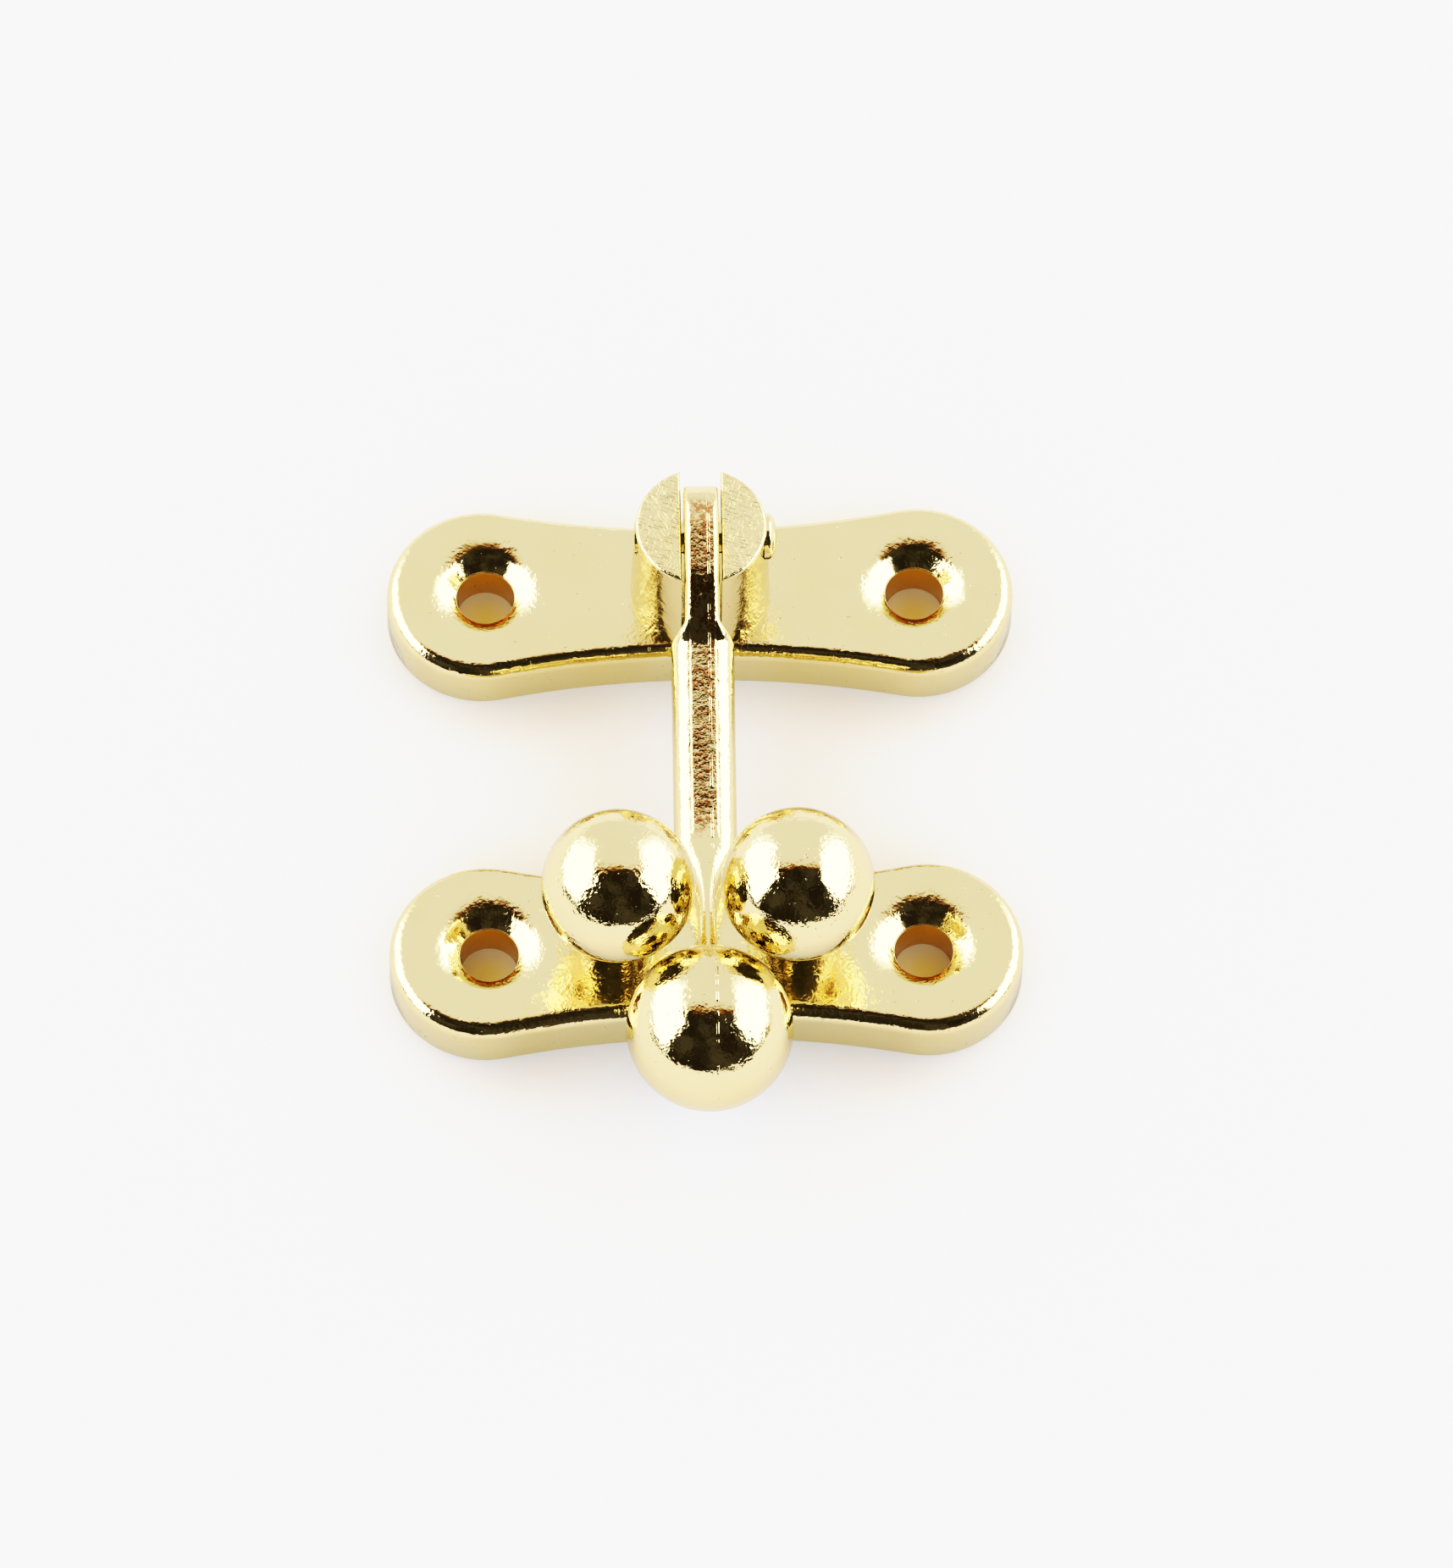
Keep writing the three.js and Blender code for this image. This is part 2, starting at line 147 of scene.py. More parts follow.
# the finishes' roughness and the grain's height on each
PLATE_FINISH = (0.11, 27)
ARM_FINISH = (0.08, 28)
POST_FINISH = (0.12, 24)
BALL_FINISH = (0.06, 34)

# the tent: a soft box's edges as y over |x| and as z over |x|, each (dark, light) across its soft border
BOX_FRONT = (-0.64, -0.52)
BOX_BACK = (1.75, 0.75)
BOX_FOOT = (0.03, 0.13)
BOX_TOP = (1.65, 1.3)
BOX_LIGHT = (2.3, 2.3, 2.3, 1)
DARK_ROOM = (0.055, 0.042, 0.032, 1)
OLIVE_ROOM = (0.14, 0.125, 0.085, 1)
SWEEP_STOPS = [
    (0.25, (0.08, 0.04, 0.02, 1)),
    (0.42, (0.34, 0.16, 0.05, 1)),
    (0.55, (0.62, 0.48, 0.30, 1)),
    (0.65, (0.93, 0.91, 0.86, 1)),
    (1.0, (0.96, 0.96, 0.96, 1)),
]
FILL_HEIGHT = (0.9, 0.7)
FILL_HIGH = (1.2, 0.76, 0.1, 1)
FILL_LOW = (1.95, 2.2, 2.8, 1)
BACKDROP = (1.3, 1.3, 1.3, 1)
FLOOR_SIZE = 6
FLOOR_COLOUR = (0.8, 0.8, 0.8, 1)
FLOOR_MIRRORED = (0.7, 0.7, 0.7, 1)

# the print curve, as (light, tone)
CURVE = [
    (0, 0), (0.03, 0.006), (0.115, 0.045), (0.2, 0.13), (0.35, 0.325), (0.5, 0.5), (0.74, 0.715),
    (0.9, 0.83), (1.0, 0.89), (1.15, 0.925), (1.35, 0.942), (1.7, 1.0), (2.0, 1.02),
]
CURVE_END = (2.0, 1.2)

CAMERA_ANGLES = (61.96, 2.23, 1.39)  # elevation, azimuth to the left of the front, and roll
CAMERA_DISTANCE = 0.7687
CAMERA_LENS = 344.1
CAMERA_SENSOR = 36
CAMERA_TARGET = Vector((1.23, 1.23, 5)) * MM

# ------------------------------------------------------------------ places from the frame
hinge_low, hinge_high = (Vector(c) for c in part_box("hinge_plate"))
catch_low, catch_high = (Vector(c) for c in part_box("catch_plate"))
stud_low, stud_high = (Vector(c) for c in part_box("catch_stud_right"))
arm_low = Vector(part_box("latch_arm")[0])
pin_low, pin_high = (Vector(c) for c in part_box("pivot_pin"))

plate_top = hinge_high.z
plate_inside = plate_top - SHEET
plate_length = hinge_high.x - hinge_low.x
end_radius = (hinge_high.y - hinge_low.y) / 2
hinge_y = (hinge_low.y + hinge_high.y) / 2
catch_y = (catch_low.y + catch_high.y) / 2
stud_x = (stud_low.x + stud_high.x) / 2
stud_ball_z = stud_high.z - STUD_BALL / 2
pin_z = (pin_low.z + pin_high.z) / 2
post_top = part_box("hinge_post")[1][2]
arm_ball_y = arm_low.y + ARM_BALL / 2
arm_ball_z = arm_low.z + ARM_BALL / 2


# ------------------------------------------------------------------ working by hand
def clear_bench():
    for thing in bpy.context.selected_objects:
        thing.select_set(False)


def take(piece):
    clear_bench()
    piece.select_set(True)
    bpy.context.view_layer.objects.active = piece


@contextmanager
def editing(piece):
    take(piece)
    bpy.ops.object.mode_set(mode="EDIT")
    yield
    bpy.ops.object.mode_set(mode="OBJECT")


def settle(piece, name):
    """Names a piece and brings its origin to the frame's, with its place in its mesh."""
    take(piece)
    bpy.ops.object.transform_apply(location=True, rotation=True, scale=True)
    piece.name = name
    piece.data.name = name
    return piece


def middle(item):
    if isinstance(item, bmesh.types.BMVert):
        return item.co
    return sum((v.co for v in item.verts), Vector()) / len(item.verts)


def pick(kind, test):
    """Selects only the verts, edges or faces that pass a test."""
    modes = {"verts": "VERT", "edges": "EDGE", "faces": "FACE"}
    bpy.ops.mesh.select_mode(type=modes[kind])
    bpy.ops.mesh.select_all(action="DESELECT")
    mesh = bmesh.from_edit_mesh(bpy.context.edit_object.data)
    for item in getattr(mesh, kind):
        if test(item):
            item.select_set(True)
    mesh.select_flush_mode()
    bmesh.update_edit_mesh(bpy.context.edit_object.data)


def stretch(centre, x=1.0, y=1.0, z=1.0):
    bpy.ops.transform.resize(value=(x, y, z), center_override=centre)


def shift(x=0.0, y=0.0, z=0.0):
    bpy.ops.transform.translate(value=(x, y, z))


def turn(angle, axis, centre):
    """Turns what is selected by the right-hand rule: with no window the tool turns the other way."""
    bpy.ops.transform.rotate(value=-angle, orient_axis=axis, center_override=centre)


def pull_edges(x=0.0, y=0.0, z=0.0):
    bpy.ops.mesh.extrude_edges_move(TRANSFORM_OT_translate={"value": (x, y, z)})


def modify(piece, kind, **settings):
    """Adds a modifier and applies it at once."""
    take(piece)
    modifier = piece.modifiers.new(kind.lower(), kind)
    for key, value in settings.items():
        setattr(modifier, key, value)
    bpy.ops.object.modifier_apply(modifier=modifier.name)


def combine(piece, tool, operation):
    """Cuts a tool out of a piece, or joins it on, and throws the tool away."""
    modify(piece, "BOOLEAN", object=tool, operation=operation, solver="EXACT")
    bpy.data.objects.remove(tool, do_unlink=True)


def round_arrises(piece, width):
    """Rounds every edge that turns by more than 50 degrees."""
    modify(piece, "BEVEL", width=width, segments=3, limit_method="ANGLE", angle_limit=math.radians(50))


def smooth(piece):
    """Shades a finished piece smooth, with its arrises sharp and its flat faces flat."""
    take(piece)
    bpy.ops.object.shade_smooth_by_angle(angle=math.radians(34))
    modify(piece, "WEIGHTED_NORMAL", keep_sharp=True, weight=50)


def face_outwards(piece):
    with editing(piece):
        bpy.ops.mesh.select_all(action="SELECT")
        bpy.ops.mesh.remove_doubles(threshold=1e-7)
        bpy.ops.mesh.normals_make_consistent(inside=False)


def near(point, x, y, radius):
    return math.hypot(point.x - x, point.y - y) < radius


# ------------------------------------------------------------------ the shell plates
def plate_half_width(x):
    """Half the dog-bone's width, x from its middle: hollow arcs that run into the round ends."""
    waist = WAIST_WIDTH / 2
    end_centre = plate_length / 2 - end_radius
    hollow = (end_centre**2 + waist**2 - end_radius**2) / (2 * (end_radius - waist))
    meet = hollow * end_centre / math.hypot(end_centre, waist + hollow)
    if abs(x) < meet:
        return waist + hollow - math.sqrt(hollow**2 - x**2)
    return math.sqrt(max(end_radius**2 - (abs(x) - end_centre) ** 2, 0))


def dimple_steps():
    """The dimple's (radius, depth) points: a gentle shoulder, a tighter bend, and a cone to the hole."""
    points = []
    radius, depth, slope = DIMPLE / 2, 0.0, 0.0
    bends = ((DIMPLE_CREASE / 2, DIMPLE_CREASE_SLOPE), (DIMPLE_CONE / 2, DIMPLE_CONE_SLOPE))
    for end, end_slope in bends:
        turning = (radius - end) / (math.sin(end_slope) - math.sin(slope))
        for i in range(1, DIMPLE_STEPS + 1):
            angle = slope + (end_slope - slope) * i / DIMPLE_STEPS
            points.append((
                radius - turning * (math.sin(angle) - math.sin(slope)),
                depth + turning * (math.cos(slope) - math.cos(angle)),
            ))
        (radius, depth), slope = points[-1], end_slope
    hole = SCREW_HOLE / 2
    points.append((hole, depth + (radius - hole) * math.tan(slope)))
    return points


hole_lip = plate_top - dimple_steps()[-1][1]


def screw_boss(x, y):
    """The tube under a dimple, from the seat up into the shell's wall."""
    top = hole_lip - BOSS_LIP
    hole, outside = SCREW_HOLE / 2 - BORE_STEP, SCREW_HOLE / 2 + BOSS_WALL
    shoulder = (outside, plate_top - BOSS_SHOULDER_DEPTH)
    lip = (hole + BOSS_LIP_WIDTH, top)
    profile = [(hole, 0), (outside, 0), shoulder, lip, (hole, top), (hole, 0)]
    return turned_piece("boss", x, y, profile, BOSS_SIDES)


def shell_plate(name, y):
    end_centre = plate_length / 2 - end_radius
    holes = [side * (plate_length / 2 - SCREW_TO_END) for side in (-1, 1)]
    bpy.ops.mesh.primitive_circle_add(vertices=PLATE_SIDES, radius=end_radius, location=(0, y, plate_top))
    plate = settle(bpy.context.object, name)
    with editing(plate):
        for side in (-1, 1):
            pick("verts", lambda v: v.co.x * side > 1e-6)
            shift(x=side * end_centre)
        pick("edges", lambda e: e.calc_length() > end_centre / 2)
        bpy.ops.mesh.subdivide(number_cuts=WAIST_CUTS)
        outline = bmesh.from_edit_mesh(plate.data).verts
        columns = [(v.co.x, v.co.y - y) for v in outline if abs(v.co.x) < end_centre and v.co.y > y]
        for x, half in columns:
            pick("verts", lambda v: abs(v.co.x - x) < 1e-6)
            stretch((x, y, plate_top), y=plate_half_width(x) / half)
        bpy.ops.mesh.select_all(action="SELECT")
        bpy.ops.mesh.edge_face_add()
        pick("edges", lambda e: True)
        pull_edges(z=-plate_top)
        pick("edges", lambda e: len(e.link_faces) == 2 and all(v.co.z > plate_top / 2 for v in e.verts))
        bpy.ops.mesh.bevel(offset=PLATE_EDGE, segments=EDGE_STEPS, profile=0.5, affect="EDGES")
        pick("faces", lambda f: abs(f.normal.z) > 0.9999)
        bpy.ops.mesh.delete(type="ONLY_FACE")
        for x in holes:
            bpy.ops.mesh.primitive_circle_add(
                vertices=DIMPLE_SIDES, radius=DIMPLE / 2, location=(x, y, plate_top))
        pick("edges", lambda e: all(v.co.z > plate_top - 1e-6 for v in e.verts))
        bpy.ops.mesh.fill(use_beauty=True)
        for x in holes:
            rim = DIMPLE / 2 + 1e-6
            pick("edges", lambda e: e.is_boundary and all(near(v.co, x, y, rim) for v in e.verts))
            radius, depth = DIMPLE / 2, 0.0
            for new_radius, new_depth in dimple_steps():
                pull_edges(z=depth - new_depth)
                stretch((x, y, plate_top - new_depth), x=new_radius / radius, y=new_radius / radius)
                radius, depth = new_radius, new_depth
    face_outwards(plate)
    modify(plate, "SOLIDIFY", thickness=SHEET, offset=-1)
    for x in holes:
        combine(plate, screw_boss(x, y), "UNION")
    round_arrises(plate, SHELL_ARRIS)
    smooth(plate)
    return plate


# ------------------------------------------------------------------ turned pieces
def turned_piece(name, x, y, profile, steps=TURNED_SIDES):
    """Spins a [radius, height] profile that runs from the axis back to the axis, or back to its start."""
    bpy.ops.mesh.primitive_plane_add(size=MM, location=(x, y, 0))
    piece = settle(bpy.context.object, name)
    with editing(piece):
        bpy.ops.mesh.select_mode(type="VERT")
        bpy.ops.mesh.select_all(action="SELECT")
        bpy.ops.mesh.merge(type="CENTER")
        (r, z), *rest = profile
        shift(x=r, z=z)
        for new_r, new_z in rest:
            bpy.ops.mesh.extrude_vertices_move(TRANSFORM_OT_translate={"value": (new_r - r, 0, new_z - z)})
            r, z = new_r, new_z
        bpy.ops.mesh.select_all(action="SELECT")
        bpy.ops.mesh.spin(steps=steps, angle=2 * math.pi, center=(x, y, 0), axis=(0, 0, 1))
    face_outwards(piece)
    return piece


def arc(r, z, radius, start, end, steps):
    """Points of an arc in a profile, angles in degrees."""
    angles = [math.radians(start + (end - start) * i / steps) for i in range(steps + 1)]
    return [(r + radius * math.cos(a), z + radius * math.sin(a)) for a in angles]


def rivet_tail(tenon):
    """The headed-over end of a tenon under the plate, a low dome."""
    head = tenon / 2 + RIVET_OVERHANG
    foot = plate_inside - RIVET_THICKNESS
    seat = plate_inside - RIVET_SEAT_GAP
    rise = RIVET_THICKNESS * RIVET_DOME_SHARE
    dome = [(head * t, foot + rise * t**3) for t in (0, 0.25, 0.5, 0.7, 0.85, 0.95, 1)]
    return dome + [(head, seat), (tenon / 2, seat), (tenon / 2, plate_top)]


def catch_stud(name, side):
    radius, post = STUD_BALL / 2, STUD_POST / 2
    start = -90 + math.degrees(math.asin(post / radius))
    profile = rivet_tail(STUD_TENON)
    profile += [(post - STUD_FOOT, plate_top), (post, plate_top + STUD_FOOT)]
    profile += arc(0, stud_ball_z, radius, start, 90, 72)[:-1] + [(0, stud_ball_z + radius)]
    stud = turned_piece(name, side * stud_x, catch_y, profile)
    smooth(stud)
    return stud


def slot_cutter():
    """The slot's shape: flat sides that flare in a small round at the post's top."""
    bpy.ops.mesh.primitive_plane_add(size=1, location=(0, hinge_y, plate_top + SLOT_FLOOR))
    cutter = bpy.context.object
    cutter.scale = (SLOT_WIDTH, 2 * POST_BASE, 1)
    settle(cutter, "slot_cutter")
    half, level = SLOT_WIDTH / 2, plate_top + SLOT_FLOOR
    edge = arc(0, post_top - POST_EDGE, POST_EDGE, 0, 90, 6)
    flare = [(half + POST_EDGE - r, z) for r, z in edge]
    with editing(cutter):
        bpy.ops.mesh.select_all(action="SELECT")
        for new_half, new_level in flare + [(flare[-1][0], post_top + POST_BASE)]:
            bpy.ops.mesh.extrude_region_move(TRANSFORM_OT_translate={"value": (0, 0, new_level - level)})
            stretch((0, hinge_y, new_level), x=new_half / half)
            half, level = new_half, new_level
    face_outwards(cutter)
    return cutter


def hinge_post():
    base, top = POST_BASE / 2, POST_TOP / 2
    profile = rivet_tail(POST_TENON)
    profile += [(base - POST_FOOT, plate_top), (base, plate_top + POST_FOOT)]
    profile += arc(top - POST_EDGE, post_top - POST_EDGE, POST_EDGE, 0, 90, 8) + [(0, post_top)]
    post = turned_piece("post_slotted", 0, hinge_y, profile)
    combine(post, slot_cutter(), "DIFFERENCE")
    bpy.ops.mesh.primitive_cylinder_add(
        vertices=HOLE_SIDES, radius=PIN / 2 + PIN_CLEARANCE, depth=2 * POST_BASE,
        location=(0, hinge_y, pin_z), rotation=(0, math.pi / 2, 0))
    combine(post, settle(bpy.context.object, "hole_cutter"), "DIFFERENCE")
    head_seat = pin_high.x - PIN_HEAD_HEIGHT
    bpy.ops.mesh.primitive_cylinder_add(
        vertices=HOLE_SIDES, radius=PIN_HEAD / 2, depth=POST_BASE,
        location=(head_seat + POST_BASE / 2, hinge_y, pin_z), rotation=(0, math.pi / 2, 0))
    combine(post, settle(bpy.context.object, "seat_cutter"), "DIFFERENCE")
    round_arrises(post, POST_ARRIS)
    smooth(post)
    return post


def pivot_pin():
    length = pin_high.x - pin_low.x - PIN_HEAD_HEIGHT
    bpy.ops.mesh.primitive_cylinder_add(
        vertices=PIN_SIDES, radius=PIN / 2, depth=length,
        location=(pin_low.x + length / 2, hinge_y, pin_z), rotation=(0, math.pi / 2, 0))
    pin = settle(bpy.context.object, "pin_headed")
    seat = pin_low.x + length
    centre = (seat, hinge_y, pin_z)
    with editing(pin):
        pick("faces", lambda f: f.normal.x > 0.99)
        bpy.ops.mesh.extrude_region_move(TRANSFORM_OT_translate={"value": (0, 0, 0)})
        stretch(centre, y=PIN_HEAD / PIN, z=PIN_HEAD / PIN)
        rise, before, steps = 0.0, 1.0, 8
        for i in range(steps + 1):
            a = PIN_HEAD_DOME * i / steps
            share = PIN_HEAD_RIM_SHARE + (1 - PIN_HEAD_RIM_SHARE) * math.sin(a)
            height = PIN_HEAD_HEIGHT * share
            bpy.ops.mesh.extrude_region_move(TRANSFORM_OT_translate={"value": (height - rise, 0, 0)})
            stretch(centre, y=math.cos(a) / before, z=math.cos(a) / before)
            rise, before = height, math.cos(a)
        bpy.ops.mesh.merge(type="CENTER")
    face_outwards(pin)
    smooth(pin)
    return pin


# ------------------------------------------------------------------ the arm
def arm_line():
    """Where the arm's middle line bends, measured along it from the pin, and its two slopes."""
    reach = hinge_y - arm_ball_y
    knee = hinge_y - catch_y - KNEE_TO_STUDS
    drop = pin_z - (plate_top + ROD_PLATE_GAP + ROD_HEIGHT / 2)
    droop = math.atan2(drop, knee)
    rise = math.atan2(arm_ball_z - pin_z + drop, reach - knee)
    setback = BEND_RADIUS * math.tan((droop + rise) / 2)
    bend_start = math.hypot(knee, drop) - setback
    bend_end = bend_start + BEND_RADIUS * (droop + rise)
    ball = bend_end + math.hypot(reach - knee, arm_ball_z - pin_z + drop) - setback
    return droop, rise, bend_start, bend_end, ball


def latch_arm():
    droop, rise, bend_start, bend_end, ball = arm_line()
    eye, shoulder = EYE / 2, TONGUE_FLAT + TONGUE_TAPER
    studs = ball - (catch_y - arm_ball_y) / math.cos(rise)
    pin_place = (0, hinge_y, pin_z)

    def blend(s):
        """0 on the tongue, 1 on the rod, smooth across the shoulder."""
        t = min(max((s - shoulder) / SHOULDER + 1, 0), 1)
        return t * t * (3 - 2 * t)

    def half_height(s):
        if s < 0:
            return math.sqrt(max(eye**2 - s**2, 0))
        return eye + (ROD_HEIGHT / 2 - eye) * min(max((s - TONGUE_FLAT) / TONGUE_TAPER, 0), 1)

    def half_width(s):
        behind = min(max(studs - s, 0), NECK_FLARE)
        flared = NECK_WIDTH / 2 + NECK_FLARE - math.sqrt(NECK_FLARE**2 - behind**2)
        corner = EYE_CORNER - min(s + eye, EYE_CORNER)
        tongue = TONGUE / 2 - EYE_CORNER + math.sqrt(EYE_CORNER**2 - corner**2)
        return tongue + (min(ROD_WIDTH / 2, flared) - tongue) * blend(s)

    stations = [-eye * math.cos(math.radians(a)) for a in (3, 8, 14, 20, 27, 34, 42, 50, 58, 66, 74, 82)]
    stations += [TONGUE_FLAT * t / 4 for t in range(5)]
    stations += [TONGUE_FLAT + (TONGUE_TAPER - SHOULDER) * t / 6 for t in range(1, 7)]
    stations += [shoulder - SHOULDER + SHOULDER * t / 12 for t in range(1, 13)]
    stations += [shoulder + (ball - shoulder) * t / ARM_RINGS for t in range(1, ARM_RINGS + 1)]

    sides = ARM_SIDES
    bpy.ops.mesh.primitive_circle_add(
        vertices=sides, radius=1, location=(0, hinge_y - stations[0], pin_z), rotation=(math.pi / 2, 0, 0))
    arm = settle(bpy.context.object, "arm_cast")
    wide, tall, at = 1.0, 1.0, stations[0]
    rings_alike = {}
    for ring, s in enumerate(stations):
        squareness = TONGUE_SQUARENESS + (ROD_SQUARENESS - TONGUE_SQUARENESS) * blend(s)
        rings_alike.setdefault(squareness, set()).add(ring)
    with editing(arm):
        bpy.ops.mesh.select_all(action="SELECT")
        for i, s in enumerate(stations):
            if i:
                pull_edges(y=at - s)
            stretch((0, hinge_y - s, pin_z), x=half_width(s) / wide, z=half_height(s) / tall)
            wide, tall, at = half_width(s), half_height(s), s
        # each ring is squared up, most on the tongue: its columns move out and its rows up
        for step in range(1, sides // 4):
            angle = 2 * math.pi * step / sides
            spots = {step, sides // 2 - step, sides // 2 + step, sides - step}
            for squareness, rings in rings_alike.items():
                power = 2 / squareness - 1
                pick("verts", lambda v: v.index // sides in rings and v.index % sides in spots)
                stretch(pin_place, x=math.sin(angle) ** power, z=math.cos(angle) ** power)
        for ring in (0, len(stations) - 1):
            pick("verts", lambda v: v.index // sides == ring)
            bpy.ops.mesh.edge_face_add()
        # the rod is bent a little at each ring, from the ball back to the pin
        for ring in range(len(stations) - 1, 0, -1):
            behind, ahead = stations[ring - 1], stations[ring]
            joint = (behind + ahead) / 2
            if bend_start < joint < bend_end:
                pick("verts", lambda v: v.index // sides >= ring)
                part = (droop + rise) * (ahead - behind) / (bend_end - bend_start)
                turn(-part, "X", (0, hinge_y - joint, pin_z))
    bpy.ops.mesh.primitive_cylinder_add(
        vertices=HOLE_SIDES, radius=PIN / 2 + PIN_CLEARANCE, depth=2 * ROD_WIDTH, location=pin_place,
        rotation=(0, math.pi / 2, 0))
    combine(arm, settle(bpy.context.object, "eye_cutter"), "DIFFERENCE")
    with editing(arm):
        bpy.ops.mesh.select_all(action="SELECT")
        turn(droop, "X", pin_place)
    bpy.ops.mesh.primitive_uv_sphere_add(
        segments=128, ring_count=80, radius=ARM_BALL / 2, location=(0, arm_ball_y, arm_ball_z),
        rotation=(math.pi / 2, 0, 0))
    combine(arm, settle(bpy.context.object, "arm_ball"), "UNION")
    smooth(arm)
    return arm


# ------------------------------------------------------------------ shader maths
class Wire:
    """A socket that takes part in sums: each operator adds a Math node."""

    def __init__(self, shader, socket):
        self.shader = shader
        self.socket = socket

    def _math(self, operation, *values):
        return self.shader.node("ShaderNodeMath", {"operation": operation}, *values)

    def __add__(self, other):
        return self._math("ADD", self, other)

    __radd__ = __add__

    def __sub__(self, other):
        return self._math("SUBTRACT", self, other)

    def __rsub__(self, other):
        return self._math("SUBTRACT", other, self)

    def __mul__(self, other):
        return self._math("MULTIPLY", self, other)

    __rmul__ = __mul__

    def __truediv__(self, other):
        return self._math("DIVIDE", self, other)

    def __abs__(self):
        return self._math("ABSOLUTE", self)

    def ramp(self, low, high):
        """0 below low, 1 above high, smooth between; low may be above high."""
        if low > high:
            return 1 - self.ramp(high, low)
        settings = {"interpolation_type": "SMOOTHSTEP"}
        return self.shader.node("ShaderNodeMapRange", settings, self, low, high, 0.0, 1.0)


class Shader:
    """A node tree that nodes are added to by one call each."""

    def __init__(self, tree):
        self.tree = tree
        tree.nodes.clear()

    def node(self, kind, settings=None, *inputs, output=None, **named):
        made = self.tree.nodes.new(kind)
        for key, value in (settings or {}).items():
            if key == "stops":
                self._stops(made.color_ramp, value)
            else:
                setattr(made, key, value)
        in_order = zip((s for s in made.inputs if s.enabled), inputs)
        by_name = ((made.inputs[key.replace("_", " ")], value) for key, value in named.items())
        for slot, value in [*in_order, *by_name]:
            if isinstance(value, Wire):
                self.tree.links.new(value.socket, slot)
            elif value is not None:
                slot.default_value = value
        ways_out = [s for s in made.outputs if s.enabled and output in (None, s.name)]
        return Wire(self, ways_out[0]) if ways_out else None

    @staticmethod
    def _stops(ramp, stops):
        while len(ramp.elements) < len(stops):
            ramp.elements.new(1)
        for element, (place, colour) in zip(ramp.elements, stops):
            element.position = place
            element.color = colour

    def split(self, vector):
        made = self.tree.nodes.new("ShaderNodeSeparateXYZ")
        self.tree.links.new(vector.socket, made.inputs[0])
        return [Wire(self, s) for s in made.outputs]

    def noise(self, place, scale, detail=2.0, roughness=0.5):
        """Noise about 0.5, scale in features per metre."""
        return self.node(
            "ShaderNodeTexNoise", {}, Vector=place, Scale=scale, Detail=detail, Roughness=roughness)

    def colours(self, mask, first, second):
        made = self.tree.nodes.new("ShaderNodeMix")
        made.data_type = "RGBA"
        for name, value in (("Factor_Float", mask), ("A_Color", first), ("B_Color", second)):
            slot = next(s for s in made.inputs if s.identifier == name)
            if isinstance(value, Wire):
                self.tree.links.new(value.socket, slot)
            else:
                slot.default_value = value
        return Wire(self, next(s for s in made.outputs if s.identifier == "Result_Color"))


# ------------------------------------------------------------------ finishes
def plated_brass(name, roughness, grain, extra=None):
    """Bright pale brass plating with faint tone patches, slow waves, a grain and a few pits.

    Heights are in thousandths of a millimetre. The grain breaks up the edges of reflections.
    """
    material = bpy.data.materials.new(name)
    material.use_nodes = True
    shader = Shader(material.node_tree)
    place = shader.node("ShaderNodeTexCoord", {}, output="Object")
    tone = shader.noise(place, TONE_SCALE, 3).ramp(0.42, 0.75)
    waves = shader.noise(place, WAVE_SCALE, 2)
    fine = shader.noise(place, GRAIN_SCALE, 1.5)
    patches = shader.noise(place, GRAIN_PATCH_SCALE, 2).ramp(0.4, 0.6)
    pitted = shader.noise(place, PIT_SCALE, 1).ramp(0.73, 0.77)
    grained = fine * (patches * (1 - GRAIN_LEAST) + GRAIN_LEAST) * grain
    height = waves * WAVE_HEIGHT + grained - pitted * PIT_DEPTH
    rough = roughness + tone * 0.03 + pitted * 0.2
    colour = shader.colours(tone * 0.3, PALE_BRASS, WARM_BRASS)
    # an extra may mix painted light into the colour: painted shade in the bores, a painted reflection on the
    # arm
    if extra:
        height, rough, mask, painted_light_colour = extra(shader, place, height, rough)
        if mask:
            colour = shader.colours(mask, colour, painted_light_colour)
    bump = shader.node("ShaderNodeBump", {}, Strength=1.0, Distance=0.001 * MM, Height=height)
    surface = shader.node(
        "ShaderNodeBsdfPrincipled", {}, Base_Color=colour, Metallic=1.0, Roughness=rough, Normal=bump)
    shader.node("ShaderNodeOutputMaterial", {}, Surface=surface)
    return material


def arm_marks_and_painted_reflection(shader, place, height, rough):
    """The rough cast strip along the arm's back, with a painted reflection: brown speckles painted in
    patches on its raised grain, standing in for the dark surroundings it reflects; and the parting line on
    its right.
    """
    x, y, z = shader.split(place)
    knee = catch_y + KNEE_TO_STUDS
    run = y.ramp(knee + 0.4 * MM, knee + 1.6 * MM) * y.ramp(hinge_y + 1.2 * MM, hinge_y + 0.4 * MM)
    above = z - pin_z - (y - hinge_y) * math.tan(arm_line()[0])
    strip = abs(x).ramp(*STRIP_BORDER) * run * above.ramp(0.3 * MM, 0.9 * MM)
    coarse = shader.noise(place, STRIP_SCALE, 2, 0.6)
    clusters = shader.noise(place, STRIP_CLUSTER_SCALE, 2).ramp(0.36, 0.52)
    # painted reflection: brown speckles where the strip's coarse grain stands high, in patches
    painted_reflection = strip * coarse.ramp(0.42, 0.54) * clusters
    broken = shader.noise(place, SEAM_BREAK_SCALE, 2).ramp(0.42, 0.55)
    seam = abs(x - SEAM_X).ramp(*SEAM_BORDER) * broken
    height = height + coarse * strip * STRIP_HEIGHT + seam * SEAM_HEIGHT
    return height, rough + strip * 0.06, painted_reflection * 0.9, PAINTED_REFLECTION_BROWN


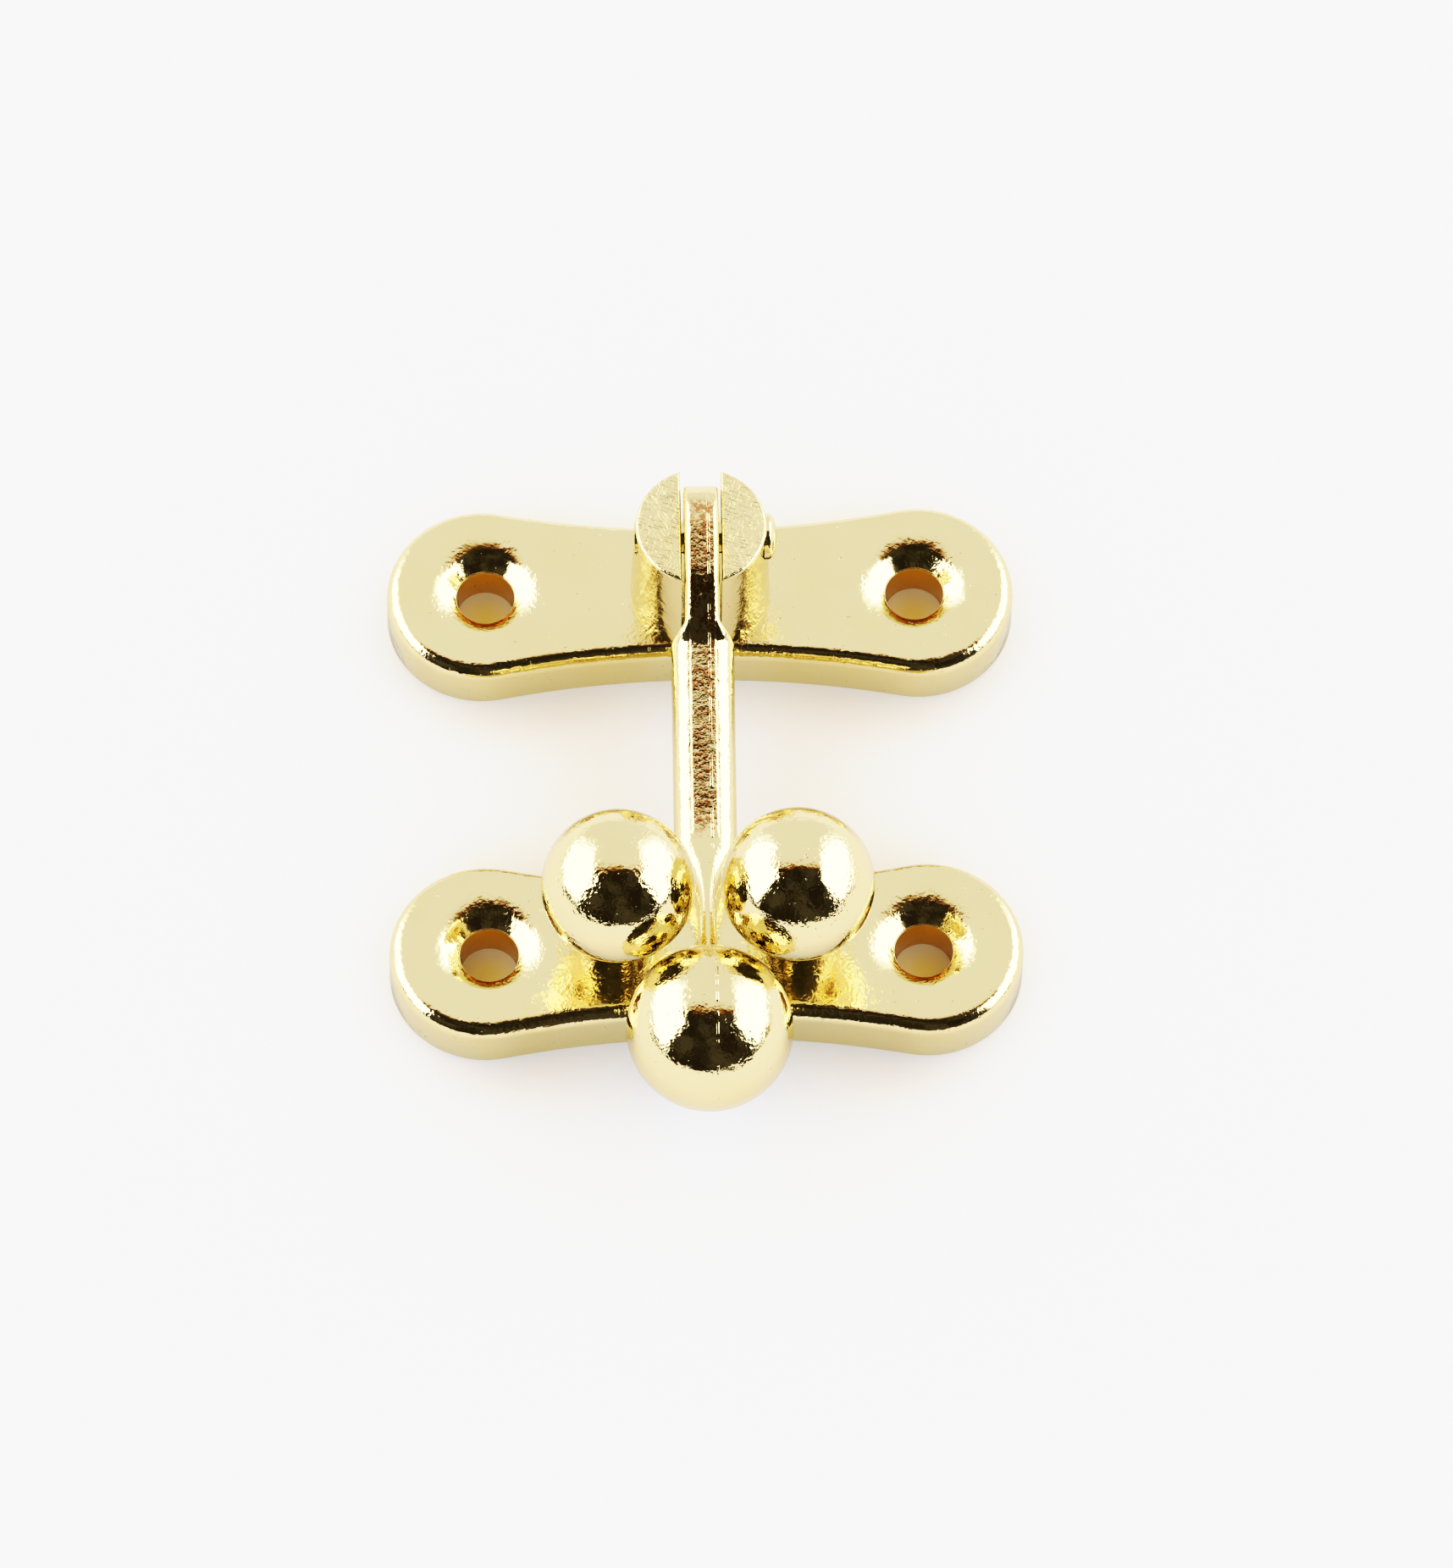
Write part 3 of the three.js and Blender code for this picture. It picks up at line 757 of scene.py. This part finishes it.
def ear_scratches(shader, place, height, rough):
    """Fine scratches across the post's flat top."""
    top = shader.split(place)[2].ramp(post_top - 0.1 * MM, post_top - 0.02 * MM)
    scratches = 0
    for turned, scale in SCRATCHES:
        settings = {"rotation_type": "Z_AXIS"}
        across = shader.node("ShaderNodeVectorRotate", settings, Vector=place, Angle=turned)
        drawn_out = scale / SCRATCH_LENGTH
        lines = shader.node("ShaderNodeMapping", {}, Vector=across, Scale=(scale, drawn_out, drawn_out))
        scratches = shader.noise(lines, 1.0, 1.0).ramp(0.6, 0.68) + scratches
    return height - scratches * top * SCRATCH_DEPTH, rough + scratches * top * 0.1, None, None


def painted_bore_shade(shader, place, height, rough):
    """Painted shade: a deeper gold painted inside the screw holes, below their lip, standing in for the
    shade and gold bounce light in the bores.
    """
    x, y, z = shader.split(place)
    hole_x = plate_length / 2 - SCREW_TO_END
    across = abs(x) - hole_x
    along = abs(y - (hinge_y + catch_y) / 2) - (hinge_y - catch_y) / 2
    # painted shade: the deeper gold covers each bore below its lip
    inside = (across * across + along * along).ramp(*BORE_BORDER)
    below = z.ramp(hole_lip - 0.05 * MM, hole_lip - 0.3 * MM)
    return height, rough, inside * below, PAINTED_BORE_SHADE


# ------------------------------------------------------------------ the studio
def studio():
    """A light tent: a pale sweep behind and overhead, a dark room in front, a soft box on each side.

    Matt surfaces are lit by an even fill instead, and the camera sees the plain backdrop.
    """
    world = bpy.data.worlds.new("tent")
    bpy.context.scene.world = world
    world.use_nodes = True
    shader = Shader(world.node_tree)
    direction = shader.node("ShaderNodeTexCoord", {}, output="Generated")
    x, y, z = shader.split(direction)
    clutter = shader.noise(direction, 2.6, 3).ramp(0.42, 0.66)
    room = shader.colours(clutter, DARK_ROOM, OLIVE_ROOM)
    edge = shader.node("ShaderNodeValToRGB", {"stops": SWEEP_STOPS}, y * 2.5 + 0.5)
    tent = shader.colours((y * 2.5 + 0.5).ramp(0.2, 0.3), room, edge)
    along, up = y / abs(x), z / abs(x)
    box = along.ramp(*BOX_FRONT) * along.ramp(*BOX_BACK) * up.ramp(*BOX_FOOT) * up.ramp(*BOX_TOP)
    tent = shader.colours(box, tent, BOX_LIGHT)
    fill = shader.colours(z.ramp(*FILL_HEIGHT), FILL_HIGH, FILL_LOW)
    camera_ray = shader.node("ShaderNodeLightPath", {}, output="Is Camera Ray")
    diffuse_ray = shader.node("ShaderNodeLightPath", {}, output="Is Diffuse Ray")
    seen = shader.colours(camera_ray, shader.colours(diffuse_ray, tent, fill), BACKDROP)
    light = shader.node("ShaderNodeBackground", {}, Color=seen, Strength=1.0)
    shader.node("ShaderNodeOutputWorld", {}, Surface=light)


def develop():
    """A print curve: deep shadows and a soft shoulder."""
    view = bpy.context.scene.view_settings
    view.view_transform = "Standard"
    view.use_curve_mapping = True
    mapping = view.curve_mapping
    mapping.clip_max_x, mapping.clip_max_y = CURVE_END
    curve = mapping.curves[3]
    curve.points[0].location = CURVE[0]
    curve.points[1].location = CURVE[-1]
    for point in CURVE[1:-1]:
        curve.points.new(*point)
    mapping.update()


def floor():
    bpy.ops.mesh.primitive_plane_add(size=FLOOR_SIZE, location=(0, 0, 0))
    ground = settle(bpy.context.object, "pale_floor")
    material = bpy.data.materials.new("pale_floor")
    material.use_nodes = True
    shader = Shader(material.node_tree)
    mirrored = shader.node("ShaderNodeLightPath", {}, output="Is Glossy Ray")
    colour = shader.colours(mirrored, FLOOR_COLOUR, FLOOR_MIRRORED)
    surface = shader.node("ShaderNodeBsdfPrincipled", {}, Base_Color=colour, Roughness=0.9)
    shader.node("ShaderNodeOutputMaterial", {}, Surface=surface)
    ground.data.materials.append(material)


def camera():
    elevation, azimuth, roll = (math.radians(a) for a in CAMERA_ANGLES)
    level = math.cos(elevation)
    away = Vector((-math.sin(azimuth) * level, -math.cos(azimuth) * level, math.sin(elevation)))
    right = (-away).cross(Vector((0, 0, 1))).normalized()
    up = right.cross(-away)
    side = math.cos(roll) * right + math.sin(roll) * up
    top = -math.sin(roll) * right + math.cos(roll) * up
    lens = bpy.data.cameras.new("camera")
    lens.sensor_fit = "HORIZONTAL"
    lens.sensor_width = CAMERA_SENSOR
    lens.lens = CAMERA_LENS
    lens.clip_start, lens.clip_end = 0.01, 20
    eye = bpy.data.objects.new("camera", lens)
    eye.matrix_world = Matrix.Translation(CAMERA_TARGET + CAMERA_DISTANCE * away) @ Matrix(
        (side, top, away)).transposed().to_4x4()
    bpy.context.collection.objects.link(eye)
    bpy.context.scene.camera = eye


camera()
studio()
floor()
develop()

# the plates' finish carries the painted shade inside the screw holes
plate_finish_with_painted_bore_shade = plated_brass("plate_brass", *PLATE_FINISH, painted_bore_shade)
# the arm's finish carries the painted brown reflection on its top strip
cast_arm_with_painted_reflection = plated_brass("cast_brass_arm", *ARM_FINISH, arm_marks_and_painted_reflection)
cast_post = plated_brass("cast_brass_post", *POST_FINISH, ear_scratches)
polished = plated_brass("polished_brass", *BALL_FINISH)

pieces = [
    (shell_plate("hinge_plate_shell", hinge_y), "hinge_side", "hinge_plate", "plate_brass", plate_finish_with_painted_bore_shade),
    (hinge_post(), "hinge_side", "hinge_post", "cast_brass", cast_post),
    (pivot_pin(), "hinge_side", "pivot_pin", "cast_brass", cast_post),
    (latch_arm(), "arm", "latch_arm", "cast_brass", cast_arm_with_painted_reflection),
    (shell_plate("catch_plate_shell", catch_y), "catch_side", "catch_plate", "plate_brass", plate_finish_with_painted_bore_shade),
    (catch_stud("left_stud_turned", -1), "catch_side", "catch_stud_left", "polished_brass", polished),
    (catch_stud("right_stud_turned", 1), "catch_side", "catch_stud_right", "polished_brass", polished),
]
for piece, body, node, slot, finish in pieces:
    piece.data.materials.clear()
    piece.data.materials.append(finish)
    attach(piece, body)
    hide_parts(node)
